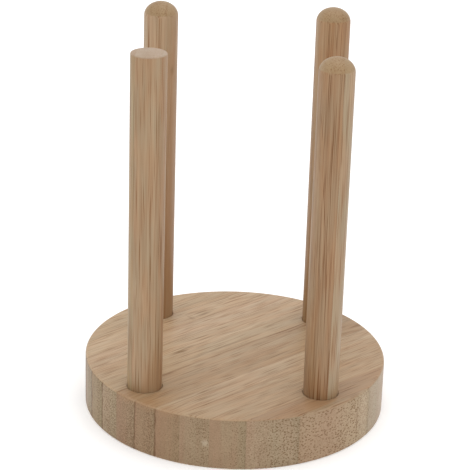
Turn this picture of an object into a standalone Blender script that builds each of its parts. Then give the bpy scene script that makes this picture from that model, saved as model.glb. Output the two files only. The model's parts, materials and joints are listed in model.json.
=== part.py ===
"""Cup stand: a round base of laminated bamboo with four upright posts that push into it.

Run it with blender --background --python part.py, or from Blender's text editor.
Metres, +Z up. The origin is the centre of the base's underside. The front is -Y.
"""

import math
from collections import namedtuple

import bmesh
import bpy
from mathutils import Matrix, Vector

MM = 0.001

# Base: a disc turned from a board of full-height staves, glued face to face.
BASE_RADIUS = 60 * MM
BASE_THICKNESS = 21 * MM
TOP_EDGE_RADIUS = 1.0 * MM
BOTTOM_EDGE_RADIUS = 0.8 * MM
GRAIN_ANGLE = math.radians(44.0)
# Where each glue joint crosses the base, measured square to the grain from the
# centre, from back left to front right. The strips are sawn about 10 mm thick.
STAVE_JOINTS = [
    offset * MM
    for offset in (-51.7, -41.8, -31.9, -22.0, -11.7, -1.6, 8.6, 18.0, 27.7, 37.4, 47.2, 57.0)
]

# Posts: four dowels from one dowel pattern, domed at one end and flat at the other.
POST_RADIUS = 6.75 * MM
POST_CIRCLE_RADIUS = 48 * MM
POST_STAND_HEIGHT = 134.2 * MM
DOME_HEIGHT = 5.5 * MM
FLAT_END_CHAMFER = 0.4 * MM

# Sockets: blind holes that hold the posts by friction.
SOCKET_DEPTH = 16 * MM
SOCKET_MOUTH_CHAMFER = 0.3 * MM

# Clearances between solids that touch on the real object.
FIT_GAP = 0.3 * MM
GLUE_GAP = 0.3 * MM

BASE_SEGMENTS = 160
POST_SEGMENTS = 40
EDGE_STEPS = 3
DOME_STEPS = 7
CUTTER_OVERSHOOT = 1 * MM
SHARP_ANGLE = math.radians(30)
MERGE_DISTANCE = 0.001 * MM

STAVE_COLORS = ((0.40, 0.275, 0.16), (0.38, 0.265, 0.155), (0.42, 0.285, 0.165))
POST_COLORS = ((0.33, 0.22, 0.12), (0.35, 0.24, 0.14), (0.31, 0.20, 0.105))
ROUGHNESS = 0.5

# A post's glue joints are planes along the dowel: strip_angle is the direction square
# to them, seen from above, and strip_joints are their distances from the dowel's axis.
# shortfall is how much lower than the other posts this one stands.
Post = namedtuple("Post", "name angle dome_up shortfall strip_angle strip_joints")
POSTS = (
    Post("front_left_post", 225, False, 0.9 * MM, 0, (-4.6 * MM, 4.9 * MM)),
    Post("front_right_post", 315, True, 0.0, 0, (2.6 * MM,)),
    Post("back_right_post", 45, True, 0.0, 90, (-2.0 * MM,)),
    Post("back_left_post", 135, True, 0.0, 0, (2.8 * MM,)),
)


def clear_scene():
    for obj in list(bpy.data.objects):
        bpy.data.objects.remove(obj, do_unlink=True)


def plane_direction(angle):
    """Unit vector in the XY plane at this angle from +X."""
    return Vector((math.cos(angle), math.sin(angle), 0.0))


def post_centre(post):
    """Where a post's axis meets the base's underside."""
    return plane_direction(math.radians(post.angle)) * POST_CIRCLE_RADIUS


def add_object(name, mesh, location=(0.0, 0.0, 0.0), parent=None):
    obj = bpy.data.objects.new(name, mesh)
    obj.location = location
    obj.parent = parent
    bpy.context.scene.collection.objects.link(obj)
    return obj


def wood_material(name, color):
    material = bpy.data.materials.new(name)
    material.use_nodes = True
    shader = material.node_tree.nodes["Principled BSDF"]
    shader.inputs["Base Color"].default_value = (*color, 1.0)
    shader.inputs["Roughness"].default_value = ROUGHNESS
    shader.inputs["Metallic"].default_value = 0.0
    return material


def turned_mesh(name, profile, segments):
    """Turn a profile of (radius, height) points about Z; both its ends lie on the axis."""
    shape = bmesh.new()
    points = [shape.verts.new((radius, 0.0, height)) for radius, height in profile]
    edges = [shape.edges.new(pair) for pair in zip(points, points[1:])]
    bmesh.ops.spin(
        shape,
        geom=points + edges,
        axis=(0.0, 0.0, 1.0),
        cent=(0.0, 0.0, 0.0),
        angle=math.tau,
        steps=segments,
        use_duplicate=False,
    )
    bmesh.ops.remove_doubles(shape, verts=shape.verts, dist=MERGE_DISTANCE)
    bmesh.ops.recalc_face_normals(shape, faces=shape.faces)
    mesh = bpy.data.meshes.new(name)
    shape.to_mesh(mesh)
    shape.free()
    mesh.shade_smooth()
    mesh.set_sharp_from_angle(angle=SHARP_ANGLE)
    return mesh


def arc_points(centre_radius, centre_height, radius, start, end, steps):
    """Points of a profile along an arc; the angles are in degrees from the outward direction."""
    points = []
    for step in range(steps + 1):
        angle = math.radians(start + (end - start) * step / steps)
        points.append((
            centre_radius + radius * math.cos(angle),
            centre_height + radius * math.sin(angle),
        ))
    return points


def base_profile():
    lower_edge = arc_points(
        BASE_RADIUS - BOTTOM_EDGE_RADIUS, BOTTOM_EDGE_RADIUS, BOTTOM_EDGE_RADIUS, -90, 0, EDGE_STEPS)
    upper_edge = arc_points(
        BASE_RADIUS - TOP_EDGE_RADIUS, BASE_THICKNESS - TOP_EDGE_RADIUS, TOP_EDGE_RADIUS,
        0, 90, EDGE_STEPS)
    return [(0.0, 0.0), *lower_edge, *upper_edge, (0.0, BASE_THICKNESS)]


def post_profile(length, dome_up):
    """Dowel from height 0 to length, with a half ellipse for its domed end."""
    dome = []
    for step in range(DOME_STEPS):
        angle = math.pi / 2 * step / DOME_STEPS
        height = length - DOME_HEIGHT + DOME_HEIGHT * math.sin(angle)
        dome.append((POST_RADIUS * math.cos(angle), height))
    profile = [
        (0.0, 0.0),
        (POST_RADIUS - FLAT_END_CHAMFER, 0.0),
        (POST_RADIUS, FLAT_END_CHAMFER),
        *dome,
        (0.0, length),
    ]
    if dome_up:
        return profile
    return [(radius, length - height) for radius, height in reversed(profile)]


def make_cutter(obj):
    obj.hide_render = True
    obj.display_type = "WIRE"
    return obj


def add_boolean(obj, cutter, operation):
    modifier = obj.modifiers.new(cutter.name, "BOOLEAN")
    modifier.operation = operation
    modifier.solver = "EXACT"
    modifier.object = cutter


def add_slab_cutter(name, angle, low, high, reach, height, parent=None):
    """Box that keeps what lies between two planes square to the direction at this angle."""
    size = Matrix.Diagonal((high - low, 2 * reach, height + 2 * CUTTER_OVERSHOOT, 1.0))
    middle = Matrix.Translation(((low + high) / 2, 0.0, height / 2))
    shape = bmesh.new()
    bmesh.ops.create_cube(shape, size=1.0, matrix=Matrix.Rotation(angle, 4, "Z") @ middle @ size)
    mesh = bpy.data.meshes.new(name)
    shape.to_mesh(mesh)
    shape.free()
    return make_cutter(add_object(name, mesh, parent=parent))


def strip_bounds(joints, reach):
    """Low and high faces of the strips that these glue joints leave, with the glue gap taken off."""
    edges = [-reach, *joints, reach]
    return [(low + GLUE_GAP / 2, high - GLUE_GAP / 2) for low, high in zip(edges, edges[1:])]


def add_socket_cutters():
    """One cutter for each blind hole, its mouth widening past the base's top face."""
    radius = POST_RADIUS + FIT_GAP
    floor = BASE_THICKNESS - SOCKET_DEPTH
    profile = [
        (0.0, floor),
        (radius, floor),
        (radius, BASE_THICKNESS - SOCKET_MOUTH_CHAMFER),
        (radius + SOCKET_MOUTH_CHAMFER + CUTTER_OVERSHOOT, BASE_THICKNESS + CUTTER_OVERSHOOT),
        (0.0, BASE_THICKNESS + CUTTER_OVERSHOOT),
    ]
    mesh = turned_mesh("socket_cutter", profile, POST_SEGMENTS)
    cutters = {}
    for post in POSTS:
        cutter = add_object(f"{post.name}_socket_cutter", mesh, location=post_centre(post))
        cutters[post.name] = make_cutter(cutter)
    return cutters


def add_base():
    """Staves of the base, numbered from back left to front right."""
    across_grain = GRAIN_ANGLE - math.pi / 2
    disc = turned_mesh("base_disc", base_profile(), BASE_SEGMENTS)
    sockets = add_socket_cutters()
    mouth_radius = POST_RADIUS + FIT_GAP + SOCKET_MOUTH_CHAMFER
    bounds = strip_bounds(STAVE_JOINTS, BASE_RADIUS + CUTTER_OVERSHOOT)
    for number, (low, high) in enumerate(bounds, start=1):
        name = f"base_stave_{number:02d}"
        stave = add_object(name, disc.copy())
        reach = BASE_RADIUS + CUTTER_OVERSHOOT
        slab = add_slab_cutter(f"{name}_slab", across_grain, low, high, reach, BASE_THICKNESS)
        add_boolean(stave, slab, "INTERSECT")
        for post in POSTS:
            offset = post_centre(post).dot(plane_direction(across_grain))
            if low - mouth_radius < offset < high + mouth_radius:
                add_boolean(stave, sockets[post.name], "DIFFERENCE")
        color = STAVE_COLORS[number % len(STAVE_COLORS)]
        stave.data.materials.append(wood_material(f"{name}_bamboo", color))


def add_post(post):
    """Strips of one post, under an empty that stands on the post's axis at its foot."""
    foot = BASE_THICKNESS - SOCKET_DEPTH + FIT_GAP
    length = BASE_THICKNESS + POST_STAND_HEIGHT - post.shortfall - foot
    axis = add_object(post.name, None, location=post_centre(post) + Vector((0.0, 0.0, foot)))
    dowel = turned_mesh(f"{post.name}_dowel", post_profile(length, post.dome_up), POST_SEGMENTS)
    reach = POST_RADIUS + CUTTER_OVERSHOOT
    angle = math.radians(post.strip_angle)
    for number, (low, high) in enumerate(strip_bounds(post.strip_joints, reach), start=1):
        name = f"{post.name}_strip_{number}"
        strip = add_object(name, dowel.copy(), parent=axis)
        slab = add_slab_cutter(f"{name}_slab", angle, low, high, reach, length, parent=axis)
        add_boolean(strip, slab, "INTERSECT")
        color = POST_COLORS[number % len(POST_COLORS)]
        strip.data.materials.append(wood_material(f"{name}_bamboo", color))


def main():
    clear_scene()
    add_base()
    for post in POSTS:
        add_post(post)


main()
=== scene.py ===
import json
import math
from collections import namedtuple

import bmesh
import bpy
from mathutils import Matrix, Vector


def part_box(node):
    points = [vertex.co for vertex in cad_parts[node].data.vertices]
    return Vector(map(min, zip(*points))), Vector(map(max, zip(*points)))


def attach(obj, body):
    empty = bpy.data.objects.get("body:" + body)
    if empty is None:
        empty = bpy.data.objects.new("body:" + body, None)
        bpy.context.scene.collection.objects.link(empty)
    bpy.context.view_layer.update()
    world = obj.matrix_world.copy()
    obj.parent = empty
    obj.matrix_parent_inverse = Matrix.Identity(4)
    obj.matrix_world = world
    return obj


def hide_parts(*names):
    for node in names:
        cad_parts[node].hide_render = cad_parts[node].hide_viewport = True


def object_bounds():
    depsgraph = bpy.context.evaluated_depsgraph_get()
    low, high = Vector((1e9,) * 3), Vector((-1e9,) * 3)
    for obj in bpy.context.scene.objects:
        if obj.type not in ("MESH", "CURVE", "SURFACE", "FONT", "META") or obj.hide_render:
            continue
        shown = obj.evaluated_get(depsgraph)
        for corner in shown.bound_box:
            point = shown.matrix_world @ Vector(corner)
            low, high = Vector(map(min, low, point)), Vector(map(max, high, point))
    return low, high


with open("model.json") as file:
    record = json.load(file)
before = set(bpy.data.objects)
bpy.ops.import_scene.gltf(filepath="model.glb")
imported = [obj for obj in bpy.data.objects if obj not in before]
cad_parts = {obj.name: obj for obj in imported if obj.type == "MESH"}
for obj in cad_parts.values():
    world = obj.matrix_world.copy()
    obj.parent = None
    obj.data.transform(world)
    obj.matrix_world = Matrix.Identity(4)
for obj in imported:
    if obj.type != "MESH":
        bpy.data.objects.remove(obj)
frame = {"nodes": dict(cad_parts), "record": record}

# Cup stand: a round base of laminated bamboo with four upright posts that push into it.
# Each strip of bamboo is one piece that replaces its CAD node. Its pattern is solid: it depends
# on where a point lies in the strip at rest, so every face shows a cut through the same wood.

cad_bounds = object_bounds()

MM = 0.001

# ---------------------------------------------------------------- dimensions
BODY_NODES = frame["record"]["behaviour"]["bodies"]
BASE_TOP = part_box("base_stave_07")[1].z
BASE_RADIUS = cad_bounds[1].x
GRAIN_ANGLE = math.radians(44.0)
TOP_EDGE_RADIUS = 1.0 * MM
BOTTOM_EDGE_RADIUS = 0.8 * MM

POST_RADIUS = 6.75 * MM
DOME_HEIGHT = 5.5 * MM
FLAT_EDGE_RADIUS = 0.45 * MM
SOCKET_GAP = 0.15 * MM
SOCKET_RADIUS = POST_RADIUS + SOCKET_GAP
SOCKET_FLOOR = 5 * MM
SOCKET_CHAMFER = 0.12 * MM

# Width of the hairline left between two glued strips.
HAIRLINE = 0.02 * MM

BASE_SEGMENTS = 256
POST_SEGMENTS = 96
SHARP_ANGLE = math.radians(35)
MERGE_DISTANCE = 0.0005 * MM
CUT_MARGIN = 1 * MM
EDGE_STEPS = 6
DOME_STEPS = 20
FLAT_EDGE_STEPS = 4

UP = Vector((0.0, 0.0, 1.0))


def direction_at(angle):
    """Unit vector in the XY plane at this angle from +X."""
    return Vector((math.cos(angle), math.sin(angle), 0.0))


GRAIN = direction_at(GRAIN_ANGLE)
ACROSS_GRAIN = direction_at(GRAIN_ANGLE - math.pi / 2)

# ---------------------------------------------------------------- the strips' looks
# tone multiplies the wood's colour. warm shifts it towards orange, or below 0 towards grey.
# green shifts it towards green, or below 0 towards pink. marks is the contrast of the streaks
# on side grain and of the dots on end grain.
Face = namedtuple("Face", "tone warm green marks")

# A stain, a node of the cane, a pale streak or a speck, with ragged edges. place and size are
# in millimetres along the grain, across the strips, and along the third side, which is grain
# cross across: -Z in the base, +Y in a post whose strip_angle is 0, and -X where it is 90.
Spot = namedtuple("Spot", "place size color strength")

NODE_BROWN = (0.19, 0.10, 0.03)
STAIN_BROWN = (0.32, 0.175, 0.08)
STAIN_OLIVE = (0.30, 0.195, 0.08)
SPECK_PALE = (0.50, 0.42, 0.30)
STREAK_PALE = (0.42, 0.31, 0.20)

# How a strip's side grain and its two ends look, the far end being the one the grain points
# to. seam is how dark the glue line on its high side is, on side grain and on end grain.
# dense_side is which side was the outside of the cane: 1 for the high side, -1 for the low.
Look = namedtuple("Look", "side near_end far_end seam dense_side spots")


def look(side, end, far_end=None, seam=(0.1, 0.1), dense_side=1, spots=()):
    return Look(side, end, far_end or end, seam, dense_side, spots)


STAVE_LOOKS = (
    look(Face(1.10, -0.1, 0.0, 1.1), Face(0.68, 0.4, 0.0, 0.6)),
    look(Face(1.05, -0.1, 0.0, 1.1), Face(0.68, 0.4, 0.0, 0.6)),
    look(Face(1.08, -0.2, -0.2, 1.1), Face(0.40, 1.4, 0.0, 0.6), Face(0.68, 0.4, 0.0, 0.6),
         seam=(0.3, 0.3), spots=(
        Spot((14.0, -34.6, -21.0), (6.5, 1.2, 3.0), NODE_BROWN, 0.7),
        Spot((14.5, -36.8, -21.0), (5.0, 1.1, 3.0), NODE_BROWN, 0.6),
        Spot((7.0, -35.0, -21.0), (1.6, 3.0, 3.0), NODE_BROWN, 0.4))),
    look(Face(1.07, -0.4, -0.4, 1.1), Face(0.65, -0.2, 0.4, 0.9), seam=(0.3, 2.4)),
    look(Face(1.05, -0.2, -0.2, 1.1), Face(0.63, 1.1, 1.1, 1.3), seam=(0.1, 1.4), spots=(
        Spot((-17.9, -12.9, -21.0), (5.0, 1.5, 3.0), NODE_BROWN, 0.9),
        Spot((-12.5, -14.4, -21.0), (5.0, 1.1, 3.0), NODE_BROWN, 0.6))),
    look(Face(0.97, 0.0, 0.0, 1.0), Face(0.67, 0.3, 0.6, 1.7), seam=(0.55, 0.1), spots=(
        Spot((0.0, -5.7, -21.0), (38.0, 1.0, 3.0), NODE_BROWN, 0.5),)),
    look(Face(0.88, 0.3, -0.1, 1.1), Face(0.59, 1.0, -0.1, 1.4), seam=(0.15, 1.0), spots=(
        Spot((-58.0, 4.0, -21.0), (8.0, 9.0, 4.0), STAIN_BROWN, 0.5),)),
    look(Face(0.85, 0.7, -0.1, 1.1), Face(0.575, 1.2, -0.1, 1.4), seam=(0.15, 1.0), spots=(
        Spot((-57.0, 13.0, -21.0), (8.0, 9.0, 4.0), STAIN_BROWN, 0.5),)),
    look(Face(0.98, -0.1, -0.2, 1.1), Face(0.58, 1.2, -0.1, 0.7), seam=(0.15, 0.0), spots=(
        Spot((-55.0, 22.0, -21.0), (7.0, 8.0, 4.0), STAIN_BROWN, 0.4),)),
    look(Face(0.94, 0.3, -0.2, 1.1), Face(0.64, 0.3, 0.1, 0.9), seam=(0.1, 0.0), spots=(
        Spot((-47.6, 36.2, -10.5), (2.0, 2.0, 2.2), SPECK_PALE, 0.5),)),
    look(Face(0.92, 0.3, -0.2, 1.0), Face(0.645, 0.4, 0.1, 0.7), seam=(0.1, 0.0)),
    look(Face(0.79, 0.8, -0.6, 0.9), Face(0.715, -0.3, 0.2, 1.2), Face(0.80, -1.0, 0.0, 0.5),
         seam=(0.1, 0.2), spots=(
        Spot((-6.0, 54.5, -21.0), (13.0, 4.0, 4.0), STAIN_BROWN, 0.5),)),
    look(Face(0.80, 0.3, -0.3, 0.9), Face(0.755, 0.2, -0.5, 0.9), Face(0.85, -0.3, 0.5, 1.6),
         dense_side=-1, spots=(
        Spot((10.4, 59.0, -10.5), (1.0, 3.0, 14.0), NODE_BROWN, 0.6),
        Spot((14.8, 58.0, -10.5), (6.0, 5.0, 30.0), STREAK_PALE, 0.45))),
)


# ---------------------------------------------------------------- camera, light, floor
# Metres and watts, but the lens and its sensor are in millimetres.
CAMERA_AIM = Vector((-1.5 * MM, 0.0, 71.2 * MM))
CAMERA_AZIMUTH = math.radians(0.86)
CAMERA_ELEVATION = math.radians(25.56)
CAMERA_DISTANCE = 751.7 * MM
CAMERA_ROLL = math.radians(1.83)
CAMERA_LENS = 142.7
CAMERA_SENSOR = 36.0
CLIP_NEAR, CLIP_FAR = 0.01, 20.0


def add_camera():
    """Camera round the centre of the base's top face, aimed part way up the posts."""
    back = Vector((
        math.sin(CAMERA_AZIMUTH) * math.cos(CAMERA_ELEVATION),
        -math.cos(CAMERA_AZIMUTH) * math.cos(CAMERA_ELEVATION),
        math.sin(CAMERA_ELEVATION),
    ))
    place = UP * BASE_TOP + back * CAMERA_DISTANCE
    aim = (CAMERA_AIM - place).to_track_quat("-Z", "Y").to_matrix().to_4x4()
    data = bpy.data.cameras.new("camera")
    data.lens = CAMERA_LENS
    data.sensor_width = CAMERA_SENSOR
    data.clip_start = CLIP_NEAR
    data.clip_end = CLIP_FAR
    camera = bpy.data.objects.new("camera", data)
    camera.matrix_world = Matrix.Translation(place) @ aim @ Matrix.Rotation(CAMERA_ROLL, 4, "Z")
    bpy.context.scene.collection.objects.link(camera)
    bpy.context.scene.camera = camera


def add_area_light(name, place, target, size, power):
    data = bpy.data.lights.new(name, "AREA")
    data.shape = "DISK"
    data.size = size
    data.energy = power
    light = bpy.data.objects.new(name, data)
    light.location = place
    light.rotation_euler = (target - place).to_track_quat("-Z", "Y").to_euler()
    bpy.context.scene.collection.objects.link(light)


SKY_COLOR = (1.0, 1.0, 1.0, 1.0)
SKY_STRENGTH = 1.0
KEY_PLACE = Vector((0.1, 0.1, 1.0))
KEY_TARGET = Vector((0.0, 0.0, 0.05))
KEY_SIZE = 1.2
KEY_POWER = 2.5
FLOOR_HALF = 3.0
FLOOR_COLOR = (0.94, 0.94, 0.94, 1.0)
FLOOR_GLOW = 0.2
FLOOR_ROUGHNESS = 0.9
FLOOR_SHINE = 0.1


def add_studio():
    """White sky, one large soft light overhead and a pale floor that glows like a light table."""
    scene = bpy.context.scene
    scene.view_settings.view_transform = "Standard"
    scene.view_settings.look = "None"
    world = bpy.data.worlds.new("studio")
    world.use_nodes = True
    sky = world.node_tree.nodes["Background"]
    sky.inputs["Color"].default_value = SKY_COLOR
    sky.inputs["Strength"].default_value = SKY_STRENGTH
    scene.world = world
    add_area_light("key", KEY_PLACE, KEY_TARGET, KEY_SIZE, KEY_POWER)

    mesh = bpy.data.meshes.new("floor")
    signs = ((-1, -1), (1, -1), (1, 1), (-1, 1))
    corners = [(x_sign * FLOOR_HALF, y_sign * FLOOR_HALF, 0.0) for x_sign, y_sign in signs]
    mesh.from_pydata(corners, [], [(0, 1, 2, 3)])
    floor = bpy.data.objects.new("floor", mesh)
    scene.collection.objects.link(floor)
    material = bpy.data.materials.new("pale_floor")
    material.use_nodes = True
    shader = material.node_tree.nodes["Principled BSDF"]
    shader.inputs["Base Color"].default_value = FLOOR_COLOR
    shader.inputs["Roughness"].default_value = FLOOR_ROUGHNESS
    shader.inputs["Specular IOR Level"].default_value = FLOOR_SHINE
    shader.inputs["Emission Color"].default_value = FLOOR_COLOR
    shader.inputs["Emission Strength"].default_value = FLOOR_GLOW
    mesh.materials.append(material)


# ---------------------------------------------------------------- node building
# Places of the sockets on a Mix node, where those for numbers and colours share their names.
MIX_FACTOR = 0
NUMBER_A, NUMBER_B, NUMBER_RESULT = 2, 3, 0
COLOR_A, COLOR_B, COLOR_RESULT = 6, 7, 2

# The middle value of a noise.
NOISE_MEAN = 0.5


class Graph:
    """Short calls that add shader nodes. Values may be numbers, vectors or sockets."""

    def __init__(self, name):
        self.material = bpy.data.materials.new(name)
        self.material.use_nodes = True
        self.tree = self.material.node_tree
        self.shader = self.tree.nodes["Principled BSDF"]

    def put(self, socket, value):
        if isinstance(value, bpy.types.NodeSocket):
            self.tree.links.new(value, socket)
        else:
            socket.default_value = value

    def math(self, operation, *values, clamp=False):
        node = self.tree.nodes.new("ShaderNodeMath")
        node.operation = operation
        node.use_clamp = clamp
        for socket, value in zip(node.inputs, values):
            self.put(socket, value)
        return node.outputs["Value"]

    def sum(self, *terms, start=0.0):
        """Start plus each value times its weight, for (value, weight) pairs."""
        total = start
        for value, weight in terms:
            total = self.math("MULTIPLY_ADD", value, weight, total)
        return total

    def vector_math(self, operation, *vectors):
        node = self.tree.nodes.new("ShaderNodeVectorMath")
        node.operation = operation
        for socket, vector in zip(node.inputs, vectors):
            self.put(socket, vector)
        return node

    def dot(self, vector, axis):
        return self.vector_math("DOT_PRODUCT", vector, axis).outputs["Value"]

    def reach(self, vector, place, size):
        """Distance from a place, measured in the size along each axis."""
        offset = self.vector_math("SUBTRACT", vector, place).outputs["Vector"]
        return self.vector_math("LENGTH", self.stretch(offset, size)).outputs["Value"]

    def combine(self, x, y, z):
        node = self.tree.nodes.new("ShaderNodeCombineXYZ")
        for socket, value in zip(node.inputs, (x, y, z)):
            self.put(socket, value)
        return node.outputs["Vector"]

    def fade(self, value, start, end, low=0.0, high=1.0):
        """Smooth step of value: low at start, high at end."""
        node = self.tree.nodes.new("ShaderNodeMapRange")
        node.interpolation_type = "SMOOTHSTEP"
        settings = {"Value": value, "From Min": start, "From Max": end, "To Min": low, "To Max": high}
        for name, setting in settings.items():
            self.put(node.inputs[name], setting)
        return node.outputs["Result"]

    def noise(self, vector, seed, detail=1.0):
        """Noise of about one feature per unit: its value, then its colour."""
        node = self.tree.nodes.new("ShaderNodeTexNoise")
        node.noise_dimensions = "4D"
        self.put(node.inputs["Vector"], vector)
        node.inputs["W"].default_value = seed
        node.inputs["Scale"].default_value = 1.0
        node.inputs["Detail"].default_value = detail
        return node.outputs["Fac"], node.outputs["Color"]

    def cells(self, vector, randomness):
        """Cells about one unit apart: the distance to the nearest centre, then its random number."""
        node = self.tree.nodes.new("ShaderNodeTexVoronoi")
        node.voronoi_dimensions = "3D"
        self.put(node.inputs["Vector"], vector)
        node.inputs["Scale"].default_value = 1.0
        node.inputs["Randomness"].default_value = randomness
        return node.outputs["Distance"], self.split(node.outputs["Color"])[0]

    def split(self, vector):
        node = self.tree.nodes.new("ShaderNodeSeparateXYZ")
        self.put(node.inputs[0], vector)
        return node.outputs["X"], node.outputs["Y"], node.outputs["Z"]

    def between(self, factor, low, high):
        """Number between low, at factor 0, and high, at factor 1."""
        node = self.tree.nodes.new("ShaderNodeMix")
        node.data_type = "FLOAT"
        node.clamp_factor = False
        self.put(node.inputs[MIX_FACTOR], factor)
        self.put(node.inputs[NUMBER_A], low)
        self.put(node.inputs[NUMBER_B], high)
        return node.outputs[NUMBER_RESULT]

    def mix(self, factor, low, high):
        """Colour between low, at factor 0, and high, at factor 1."""
        node = self.tree.nodes.new("ShaderNodeMix")
        node.data_type = "RGBA"
        node.clamp_factor = False
        self.put(node.inputs[MIX_FACTOR], factor)
        self.put(node.inputs[COLOR_A], low)
        self.put(node.inputs[COLOR_B], high)
        return node.outputs[COLOR_RESULT]

    def bump(self, height, strength, distance):
        node = self.tree.nodes.new("ShaderNodeBump")
        self.put(node.inputs["Height"], height)
        node.inputs["Strength"].default_value = strength
        node.inputs["Distance"].default_value = distance
        return node.outputs["Normal"]

    def object_coordinates(self):
        """Place at rest in the shared frame, in metres, and the surface's direction."""
        node = self.tree.nodes.new("ShaderNodeTexCoord")
        return node.outputs["Object"], node.outputs["Normal"]

    def stretch(self, vector, size):
        """Divides the vector by the size of one feature along each axis."""
        return self.vector_math("DIVIDE", vector, size).outputs["Vector"]


# ---------------------------------------------------------------- bamboo
# Lengths here are in millimetres. A size is that of one feature: along the grain, across
# the strip, and along the strip's third side. A strip's bundles close up, and its end grain is
# darker and greener, towards its dense side, which was the outside of the bamboo cane.
STRIP_THICKNESS = 9.9
CROWDING = 0.5
WANDER_SIZE = (60.0, 9.0, 9.0)
WANDER_DETAIL = 2.0

# Each strip's tilt differs: across, it swings with the sine of its seed times a rate, and
# along the third side it swings the same way about a middle value.
TILT_RATE = 2.1
TILT_UP_RATE = 3.7
TILT_UP_MIDDLE, TILT_UP_SWING = 1.2, 0.5

LAYER_SIZE = (35.0, 2.2, 30.0)
BAND_SIZE = (40.0, 5.0, 5.0)
DOT_SIZE = (1.4, 0.72, 0.76)
GRIT_SIZE = (0.45, 0.45, 0.45)
TINT_SIZE = (20.0, 3.0, 3.0)
SEAM_RAG_SIZE = (20.0, 2.0, 3.0)
SPOT_RAG_SIZE = (5.0, 0.8, 0.8)
SEAM_WIDTH = 0.7
END_BLEND = 8.0

# How ragged the edge of a glue line is, in seam widths, and that of a spot, in spot sizes.
SEAM_RAG = 2.0
SPOT_RAG = 0.8

# How far from its middle a mark begins and is full: a line or a dot in cells, a glue line in
# seam widths.
LINE_REACH = (0.34, 0.06)
DOT_REACH = (0.52, 0.12)
SEAM_REACH = (2.0, 0.6)

# How irregularly lines and dots are spaced, from 0 in rows to 1 at random.
LINE_JITTER = 0.9
DOT_JITTER = 0.8

# A dot's strength: the least, what chance adds, and its share on the pale and the dense side.
DOT_LEAST, DOT_SPREAD = 0.4, 0.7
DOTS_PALE, DOTS_DENSE = 0.25, 1.1

# Between which noise values a fibre fades in, and the tint goes from one end to the other.
FIBRE_RANGE = (0.46, 0.30)
TINT_RANGE = (0.32, 0.68)

# How far up or down a surface faces, from 0 on a wall to 1 on a flat, where end grain begins
# to show and where nothing else does.
RIM_TURN = (0.75, 0.35)
TIP_TURN = (0.20, 0.32)

# What each noise adds to its strip's seed, so that they differ. The noise that frays the spots
# has a seed of its own, the same in every strip.
FIBRE_SEED, STREAK_SEED, LAYER_SEED, GRIT_SEED = 5.0, 6.0, 7.0, 8.0
BAND_SEED, TINT_SEED, SEAM_SEED = 9.0, 10.0, 11.0
SPOT_SEED = 1.0

# How much of the dark wood each mark adds, and the limits of their sum. Below 0 the wood is
# paler than the light wood.
GROUND_SHADE = 0.12
LINE_SHADE = 1.2
FIBRE_SHADE = 0.65
STREAK_SHADE = 0.7
LAYER_SHADE = 0.4
BAND_SHADE = 0.35
DOT_SHADE = 1.3
GRIT_SHADE = 1.1
LIGHTEST, DARKEST = -0.4, 1.0

# End grain's way from the pale side's tint to the dense side's: the start, and what the
# denseness and the layers add.
GREENING_START, GREENING_DENSE, GREENING_LAYER = -0.55, 0.7, 1.4

ROUGHNESS_LIGHT, ROUGHNESS_DARK = 0.46, 0.60
BUMP_STRENGTH = 0.25
BUMP_DEPTH = 0.05 * MM

# The light wood's colour, and what a warm or a green of 1 adds to its red, green and blue, as
# a share of each.
LIGHT_WOOD = Vector((0.450, 0.313, 0.183))
WARM_SHIFT = Vector((0.02, -0.05, -0.15))
GREEN_SHIFT = Vector((-0.045, 0.03, -0.02))

# The wood of the board and of the dowels: the sizes of its dark lines, fibres and streaks on
# side grain, how far the fibres wander and tilt, the dark wood's colour, and what changes
# (warm, green) at both ends of the tint on side grain, and on the pale and the dense side on
# end grain.
Wood = namedtuple("Wood", "line fibre streak wander tilt dark side_tint end_tint")
BOARD = Wood(
    line=(15.0, 1.0, 0.95), fibre=(14.0, 0.28, 0.28), streak=(22.0, 0.6, 0.6), wander=1.3,
    tilt=0.016, dark=Vector((0.230, 0.122, 0.046)),
    side_tint=((-0.4, 0.15), (0.4, -0.15)), end_tint=((0.4, -0.8), (-0.2, 0.6)))
DOWEL = Wood(
    line=(45.0, 0.75, 0.75), fibre=(30.0, 0.26, 0.26), streak=(50.0, 0.7, 0.7), wander=0.6,
    tilt=0.005, dark=Vector((0.235, 0.105, 0.025)),
    side_tint=((-0.6, 0.3), (0.6, -0.3)), end_tint=((-0.3, 0.1), (0.3, -0.1)))

# One strip's fibres: its wood; the direction of its grain, and across it to the next strip;
# its glued faces along across, in metres, or None; the seam at the low one; its look; the
# middle of its length along the grain, in millimetres; and a seed.
Strip = namedtuple("Strip", "name wood grain across low high low_seam look middle seed")

# A point among a strip's fibres. solid is straight, strands follows the fibres, and bundles
# too, but closes up towards the dense side.
Places = namedtuple("Places", "along breadth solid strands bundles denseness")


def wood_color(wood, face, change):
    """Colour of a face's light or dark wood, with a change of (warm, green)."""
    warm = face.warm + change[0]
    green = face.green + change[1]
    shifts = [1.0 + warm * warm_shift + green * green_shift
              for warm_shift, green_shift in zip(WARM_SHIFT, GREEN_SHIFT)]
    return (*(channel * face.tone * shift for channel, shift in zip(wood, shifts)), 1.0)


def tint_colors(wood, face, changes):
    """Colours of a face's light or dark wood at both ends of a tint."""
    return [wood_color(wood, face, change) for change in changes]


def rim_mask(g, normal):
    """The base's side, where the strips show their end grain."""
    upright = g.math("ABSOLUTE", g.split(normal)[2])
    return g.fade(upright, *RIM_TURN)


def tip_mask(g, normal):
    """A post's domed or flat end."""
    upright = g.math("ABSOLUTE", g.split(normal)[2])
    return g.fade(upright, *TIP_TURN)


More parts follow.
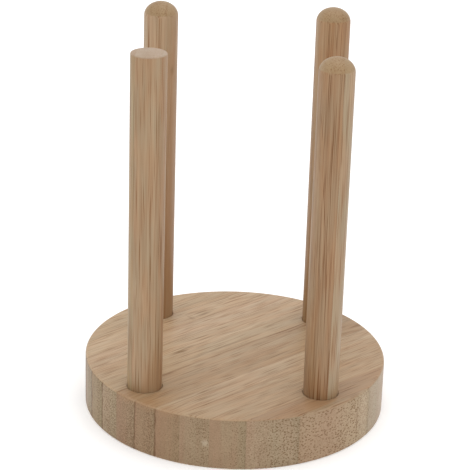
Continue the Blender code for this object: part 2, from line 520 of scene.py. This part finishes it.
def fibre_places(g, place, strip):
    """Fibres wander a little and run slightly out of true, so streaks have ends."""
    along = g.dot(place, strip.grain / MM)
    breadth = g.dot(place, strip.across / MM)
    height = g.dot(place, strip.grain.cross(strip.across) / MM)
    solid = g.combine(along, breadth, height)
    _, sway = g.noise(g.stretch(solid, WANDER_SIZE), strip.seed, WANDER_DETAIL)
    sway_across, sway_up, _ = g.split(sway)
    tilt_across = strip.wood.tilt * math.sin(strip.seed * TILT_RATE)
    tilt_up = strip.wood.tilt * (TILT_UP_MIDDLE + TILT_UP_SWING * math.sin(strip.seed * TILT_UP_RATE))
    wander = strip.wood.wander
    across = g.sum((along, tilt_across), (sway_across, wander), start=breadth)
    up = g.sum((along, tilt_up), (sway_up, wander), start=height)

    low = strip.low / MM if strip.low is not None else strip.high / MM - STRIP_THICKNESS
    middle = low + STRIP_THICKNESS / 2
    side = strip.look.dense_side
    depth = g.sum((across, side), start=STRIP_THICKNESS / 2 - side * (middle + NOISE_MEAN * wander))
    denseness = g.math("DIVIDE", depth, STRIP_THICKNESS, clamp=True)
    crowded = g.math("MULTIPLY", depth, g.sum((denseness, CROWDING), start=1.0))
    strands = g.combine(along, across, up)
    return Places(along, breadth, solid, strands, g.combine(along, crowded, up), denseness)


def side_marks(g, at, wood, seed):
    """Thin dark lines of single bundles over fine fibres and soft streaks."""
    reach, chance = g.cells(g.stretch(at.bundles, wood.line), LINE_JITTER)
    line = g.math("MULTIPLY", g.fade(reach, *LINE_REACH), g.math("MULTIPLY", chance, chance))
    fibre, _ = g.noise(g.stretch(at.strands, wood.fibre), seed + FIBRE_SEED)
    streak, _ = g.noise(g.stretch(at.strands, wood.streak), seed + STREAK_SEED)
    return g.sum(
        (line, LINE_SHADE), (g.fade(fibre, *FIBRE_RANGE), FIBRE_SHADE), (streak, STREAK_SHADE),
        start=-NOISE_MEAN * STREAK_SHADE)


def end_marks(g, at, seed):
    """Dots of cut bundles, crowded and strong on the dense side, over fine grit."""
    reach, chance = g.cells(g.stretch(at.bundles, DOT_SIZE), DOT_JITTER)
    strength = g.sum((chance, DOT_SPREAD), start=DOT_LEAST)
    dot = g.math("MULTIPLY", g.fade(reach, *DOT_REACH), strength)
    dot = g.math("MULTIPLY", dot, g.fade(at.denseness, 0.0, 1.0, DOTS_PALE, DOTS_DENSE))
    grit, _ = g.noise(g.stretch(at.solid, GRIT_SIZE), seed + GRIT_SEED)
    return g.sum((dot, DOT_SHADE), (grit, GRIT_SHADE), start=-NOISE_MEAN * GRIT_SHADE)


def seam_shade(g, at, strip, end):
    """Glue lines at the strip's glued faces, with ragged edges."""
    rag, _ = g.noise(g.stretch(at.solid, SEAM_RAG_SIZE), strip.seed + SEAM_SEED)
    begin, full = (reach * SEAM_WIDTH for reach in SEAM_REACH)
    total = 0.0
    for face, seam in ((strip.low, strip.low_seam), (strip.high, strip.look.seam)):
        if face is not None:
            distance = g.math("ABSOLUTE", g.math("SUBTRACT", at.breadth, face / MM))
            ragged = g.sum((rag, SEAM_RAG * SEAM_WIDTH), start=distance)
            line = g.fade(ragged, begin, full)
            total = g.math("MULTIPLY_ADD", line, g.between(end, *seam), total)
    return total


def add_spots(g, at, color, spots):
    """The colour with each spot laid over it."""
    rag, _ = g.noise(g.stretch(at.solid, SPOT_RAG_SIZE), SPOT_SEED)
    usual_rag = NOISE_MEAN * SPOT_RAG
    for spot in spots:
        ragged = g.sum((rag, SPOT_RAG), start=g.reach(at.solid, spot.place, spot.size))
        cover = g.fade(ragged, 1.0 + usual_rag, usual_rag, 0.0, spot.strength)
        color = g.mix(cover, color, (*spot.color, 1.0))
    return color


def bamboo(strip, end_mask):
    """Solid bamboo pattern of one strip, with side grain and, where end_mask says, end grain."""
    g = Graph(f"{strip.name}_bamboo")
    place, normal = g.object_coordinates()
    at = fibre_places(g, place, strip)
    side_look, near_look, far_look = strip.look.side, strip.look.near_end, strip.look.far_end
    end = end_mask(g, normal)
    far = g.fade(at.along, strip.middle - END_BLEND, strip.middle + END_BLEND)

    # How dark: marks on the side and end grain, soft layers and bands, and seams.
    _, layers = g.noise(g.stretch(at.solid, LAYER_SIZE), strip.seed + LAYER_SEED)
    layer, layer_tint, _ = g.split(layers)
    band, _ = g.noise(g.stretch(at.solid, BAND_SIZE), strip.seed + BAND_SEED)
    side = g.math("MULTIPLY", side_marks(g, at, strip.wood, strip.seed), side_look.marks)
    contrast = g.between(far, near_look.marks, far_look.marks)
    ends = g.math("MULTIPLY", end_marks(g, at, strip.seed), contrast)
    dark = g.sum(
        (g.between(end, side, ends), 1.0), (layer, LAYER_SHADE), (band, BAND_SHADE),
        (seam_shade(g, at, strip, end), 1.0),
        start=GROUND_SHADE - NOISE_MEAN * (LAYER_SHADE + BAND_SHADE))
    dark = g.math("MINIMUM", g.math("MAXIMUM", dark, LIGHTEST), DARKEST)

    # The colour: pale ground to dark fibre, tinted in soft patches and layers.
    patches, _ = g.noise(g.stretch(at.solid, TINT_SIZE), strip.seed + TINT_SEED)
    tint = g.fade(patches, *TINT_RANGE)
    greening = g.sum(
        (at.denseness, GREENING_DENSE), (layer_tint, GREENING_LAYER), start=GREENING_START)
    colors = []
    for wood in (LIGHT_WOOD, strip.wood.dark):
        side_color = g.mix(tint, *tint_colors(wood, side_look, strip.wood.side_tint))
        near_color = g.mix(greening, *tint_colors(wood, near_look, strip.wood.end_tint))
        far_color = g.mix(greening, *tint_colors(wood, far_look, strip.wood.end_tint))
        colors.append(g.mix(end, side_color, g.mix(far, near_color, far_color)))
    color = add_spots(g, at, g.mix(dark, *colors), strip.look.spots)
    roughness = g.fade(dark, 0.0, 1.0, ROUGHNESS_LIGHT, ROUGHNESS_DARK)
    bump = g.bump(g.math("SUBTRACT", 1.0, dark), BUMP_STRENGTH, BUMP_DEPTH)
    g.put(g.shader.inputs["Base Color"], color)
    g.put(g.shader.inputs["Roughness"], roughness)
    g.put(g.shader.inputs["Normal"], bump)
    return g.material


# ---------------------------------------------------------------- shapes
def arc_points(centre_radius, centre_height, radius, start, end, steps):
    """Points of a profile along an arc; the angles are in degrees from the outward direction."""
    points = []
    for step in range(steps + 1):
        angle = math.radians(start + (end - start) * step / steps)
        points.append((
            centre_radius + radius * math.cos(angle),
            centre_height + radius * math.sin(angle),
        ))
    return points


def turned_shape(profile, segments, place=(0.0, 0.0, 0.0)):
    """Bmesh of a profile of (radius, height) points turned about the vertical through place."""
    shape = bmesh.new()
    points = [shape.verts.new((radius, 0.0, height)) for radius, height in profile]
    edges = [shape.edges.new(pair) for pair in zip(points, points[1:])]
    bmesh.ops.spin(
        shape,
        geom=points + edges,
        axis=UP,
        cent=(0.0, 0.0, 0.0),
        angle=math.tau,
        steps=segments,
        use_duplicate=False,
    )
    bmesh.ops.remove_doubles(shape, verts=shape.verts, dist=MERGE_DISTANCE)
    bmesh.ops.recalc_face_normals(shape, faces=shape.faces)
    bmesh.ops.translate(shape, verts=shape.verts, vec=place)
    return shape


def shape_to_object(name, shape):
    mesh = bpy.data.meshes.new(name)
    shape.to_mesh(mesh)
    shape.free()
    obj = bpy.data.objects.new(name, mesh)
    bpy.context.scene.collection.objects.link(obj)
    return obj


def cut_strip(source, centre, direction, low, high):
    """Bmesh of the part of the source mesh between two planes square to direction."""
    shape = bmesh.new()
    shape.from_mesh(source)
    for distance, outward in ((low, -direction), (high, direction)):
        if distance is None:
            continue
        cut = bmesh.ops.bisect_plane(
            shape,
            geom=shape.verts[:] + shape.edges[:] + shape.faces[:],
            dist=MERGE_DISTANCE,
            plane_co=centre + direction * distance,
            plane_no=outward,
            clear_outer=True,
        )
        rim = [item for item in cut["geom_cut"] if isinstance(item, bmesh.types.BMEdge)]
        bmesh.ops.holes_fill(shape, edges=rim)
    bmesh.ops.recalc_face_normals(shape, faces=shape.faces)
    return shape


def span(node, centre, direction):
    """Lowest and highest distance of a CAD node from a centre along a direction."""
    distances = [(vertex.co - centre).dot(direction) for vertex in frame["nodes"][node].data.vertices]
    return min(distances), max(distances)


def glue_faces(nodes, centre, direction):
    """Low and high face of each strip, half a hairline short of the middle of each glue gap."""
    spans = [span(node, centre, direction) for node in nodes]
    joints = [(low[1] + high[0]) / 2 for low, high in zip(spans, spans[1:])]
    lows = [None] + [joint + HAIRLINE / 2 for joint in joints]
    highs = [joint - HAIRLINE / 2 for joint in joints] + [None]
    return list(zip(lows, highs))


def middle_along(mesh, grain):
    """Middle of a mesh along the grain, in millimetres."""
    distances = [vertex.co.dot(grain) for vertex in mesh.vertices]
    return (min(distances) + max(distances)) / 2 / MM


def add_strips(body, wood, source, centre, across, grain, looks, seeds, end_mask):
    """Strips glued face to face, cut from a turned shape, that stand for a body's CAD nodes."""
    nodes = BODY_NODES[body]
    low_seams = [None] + [strip_look.seam for strip_look in looks]
    offset = centre.dot(across)
    for node, faces, strip_look, low_seam, seed in zip(
            nodes, glue_faces(nodes, centre, across), looks, low_seams, seeds):
        piece = shape_to_object(f"{node}_wood", cut_strip(source, centre, across, *faces))
        piece.data.shade_smooth()
        piece.data.set_sharp_from_angle(angle=SHARP_ANGLE)
        low, high = (None if face is None else face + offset for face in faces)
        middle = middle_along(piece.data, grain)
        strip = Strip(node, wood, grain, across, low, high, low_seam, strip_look, middle, seed)
        piece.data.materials.append(bamboo(strip, end_mask))
        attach(piece, body)
        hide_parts(node)


# ---------------------------------------------------------------- posts
# strip_angle is the direction square to the post's glue planes, in degrees from +X.
Post = namedtuple("Post", "body dome_up strip_angle looks")

# The first post's seed, and how much is added for each next post. Its strips count up by 1.
FIRST_POST_SEED = 3.0
POST_SEED_STEP = 10.0

# The flat end is coloured lighter and greyer than the domes. Part of that is paler end grain, and
# part is a painted sheen: the light that the up-facing cut end reflects, painted into its colour.
FLAT_TIP_WITH_PAINTED_SHEEN = Face(0.86, -1.4, -0.7, 0.35)
DOME_TIP = Face(0.72, 1.3, 0.4, 0.55)

POSTS = (
    # The front left post stands with its flat end up, and that end's colour holds a painted sheen.
    Post("front_left_post", False, 0, (
        look(Face(0.76, 0.7, 0.6, 1.3), FLAT_TIP_WITH_PAINTED_SHEEN, seam=(0.05, 0.0)),
        look(Face(0.78, 0.6, -0.2, 1.4), FLAT_TIP_WITH_PAINTED_SHEEN, seam=(0.05, 0.0)),
        look(Face(0.73, 1.0, -0.5, 1.3), FLAT_TIP_WITH_PAINTED_SHEEN))),
    Post("front_right_post", True, 0, (
        look(Face(0.67, 1.6, -0.5, 1.7), DOME_TIP, seam=(0.05, 0.0), spots=(
            Spot((75.0, 27.5, -37.0), (140.0, 3.5, 8.0), STREAK_PALE, 0.38),)),
        look(Face(0.80, 0.0, 0.0, 1.2), DOME_TIP))),
    Post("back_right_post", True, 90, (
        look(Face(0.73, 2.1, -0.6, 1.8), DOME_TIP, seam=(0.05, 0.0), spots=(
            Spot((145.0, 30.0, -27.5), (45.0, 8.0, 3.0), STREAK_PALE, 0.4),
            Spot((70.0, 31.0, -28.0), (110.0, 8.0, 4.0), STAIN_OLIVE, 0.4),
            Spot((140.0, 30.0, -39.5), (60.0, 8.0, 4.0), NODE_BROWN, 0.25))),
        look(Face(0.72, 2.0, -0.7, 1.8), DOME_TIP))),
    Post("back_left_post", True, 0, (
        look(Face(0.86, 0.1, -0.2, 1.5), DOME_TIP, seam=(0.05, 0.0)),
        look(Face(0.77, 1.1, -0.3, 1.5), DOME_TIP, spots=(
            Spot((129.0, -29.5, 29.5), (14.0, 4.0, 6.0), STAIN_BROWN, 0.6),
            Spot((128.5, -28.9, 29.4), (3.0, 1.2, 3.0), NODE_BROWN, 0.9),
            Spot((65.0, -28.5, 30.0), (110.0, 6.0, 8.0), STAIN_BROWN, 1.0))))),
)


def post_ends(post):
    """The foot of a post's axis and the top of its dowel, from its CAD nodes."""
    boxes = [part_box(node) for node in BODY_NODES[post.body]]
    low = [min(box[0][axis] for box in boxes) for axis in range(3)]
    high = [max(box[1][axis] for box in boxes) for axis in range(3)]
    foot = Vector(((low[0] + high[0]) / 2, (low[1] + high[1]) / 2, low[2]))
    return foot, high[2]


def post_profile(foot, top, dome_up):
    """Dowel between two heights: half an ellipse on one end, an eased edge round the other."""
    length = top - foot
    dome = []
    for step in range(DOME_STEPS):
        angle = math.pi / 2 * step / DOME_STEPS
        height = length - DOME_HEIGHT + DOME_HEIGHT * math.sin(angle)
        dome.append((POST_RADIUS * math.cos(angle), height))
    edge = arc_points(
        POST_RADIUS - FLAT_EDGE_RADIUS, FLAT_EDGE_RADIUS, FLAT_EDGE_RADIUS, -90, 0, FLAT_EDGE_STEPS)
    profile = [(0.0, 0.0), *edge, *dome, (0.0, length)]
    if not dome_up:
        profile = [(radius, length - height) for radius, height in reversed(profile)]
    return [(radius, foot + height) for radius, height in profile]


def add_post(post, seed):
    foot, top = post_ends(post)
    centre = Vector((foot.x, foot.y, 0.0))
    shape = turned_shape(post_profile(foot.z, top, post.dome_up), POST_SEGMENTS, centre)
    dowel = bpy.data.meshes.new(f"{post.body}_dowel")
    shape.to_mesh(dowel)
    shape.free()
    across = direction_at(math.radians(post.strip_angle))
    seeds = [seed + number for number in range(len(post.looks))]
    add_strips(
        post.body, DOWEL, dowel, centre, across, UP, post.looks, seeds, tip_mask)
    bpy.data.meshes.remove(dowel)


# ---------------------------------------------------------------- base
def base_profile():
    lower_edge = arc_points(
        BASE_RADIUS - BOTTOM_EDGE_RADIUS, BOTTOM_EDGE_RADIUS, BOTTOM_EDGE_RADIUS, -90, 0, EDGE_STEPS)
    upper_edge = arc_points(
        BASE_RADIUS - TOP_EDGE_RADIUS, BASE_TOP - TOP_EDGE_RADIUS, TOP_EDGE_RADIUS,
        0, 90, EDGE_STEPS)
    return [(0.0, 0.0), *lower_edge, *upper_edge, (0.0, BASE_TOP)]


def socket_profile():
    return [
        (0.0, SOCKET_FLOOR),
        (SOCKET_RADIUS, SOCKET_FLOOR),
        (SOCKET_RADIUS, BASE_TOP - SOCKET_CHAMFER),
        (SOCKET_RADIUS + SOCKET_CHAMFER + CUT_MARGIN, BASE_TOP + CUT_MARGIN),
        (0.0, BASE_TOP + CUT_MARGIN),
    ]


def drilled_disc():
    """Mesh of the whole base with its four sockets, before it is cut into strips."""
    disc = shape_to_object("disc", turned_shape(base_profile(), BASE_SEGMENTS))
    drills = []
    for post in POSTS:
        foot, _ = post_ends(post)
        socket = turned_shape(socket_profile(), POST_SEGMENTS, Vector((foot.x, foot.y, 0.0)))
        drill = shape_to_object(f"{post.body}_drill", socket)
        hole = disc.modifiers.new(drill.name, "BOOLEAN")
        hole.operation = "DIFFERENCE"
        hole.object = drill
        drills.append(drill)
    graph = bpy.context.evaluated_depsgraph_get()
    drilled = bpy.data.meshes.new_from_object(disc.evaluated_get(graph))
    for obj in [disc, *drills]:
        bpy.data.objects.remove(obj)
    return drilled


FIRST_STAVE_SEED = 20.0
STAVE_SEED_STEP = 1.7


def add_base():
    drilled = drilled_disc()
    seeds = [FIRST_STAVE_SEED + number * STAVE_SEED_STEP for number in range(len(STAVE_LOOKS))]
    add_strips(
        "base", BOARD, drilled, Vector(), ACROSS_GRAIN, GRAIN, STAVE_LOOKS, seeds,
        rim_mask)
    bpy.data.meshes.remove(drilled)


add_camera()
add_studio()
add_base()
for number, post in enumerate(POSTS):
    add_post(post, FIRST_POST_SEED + POST_SEED_STEP * number)
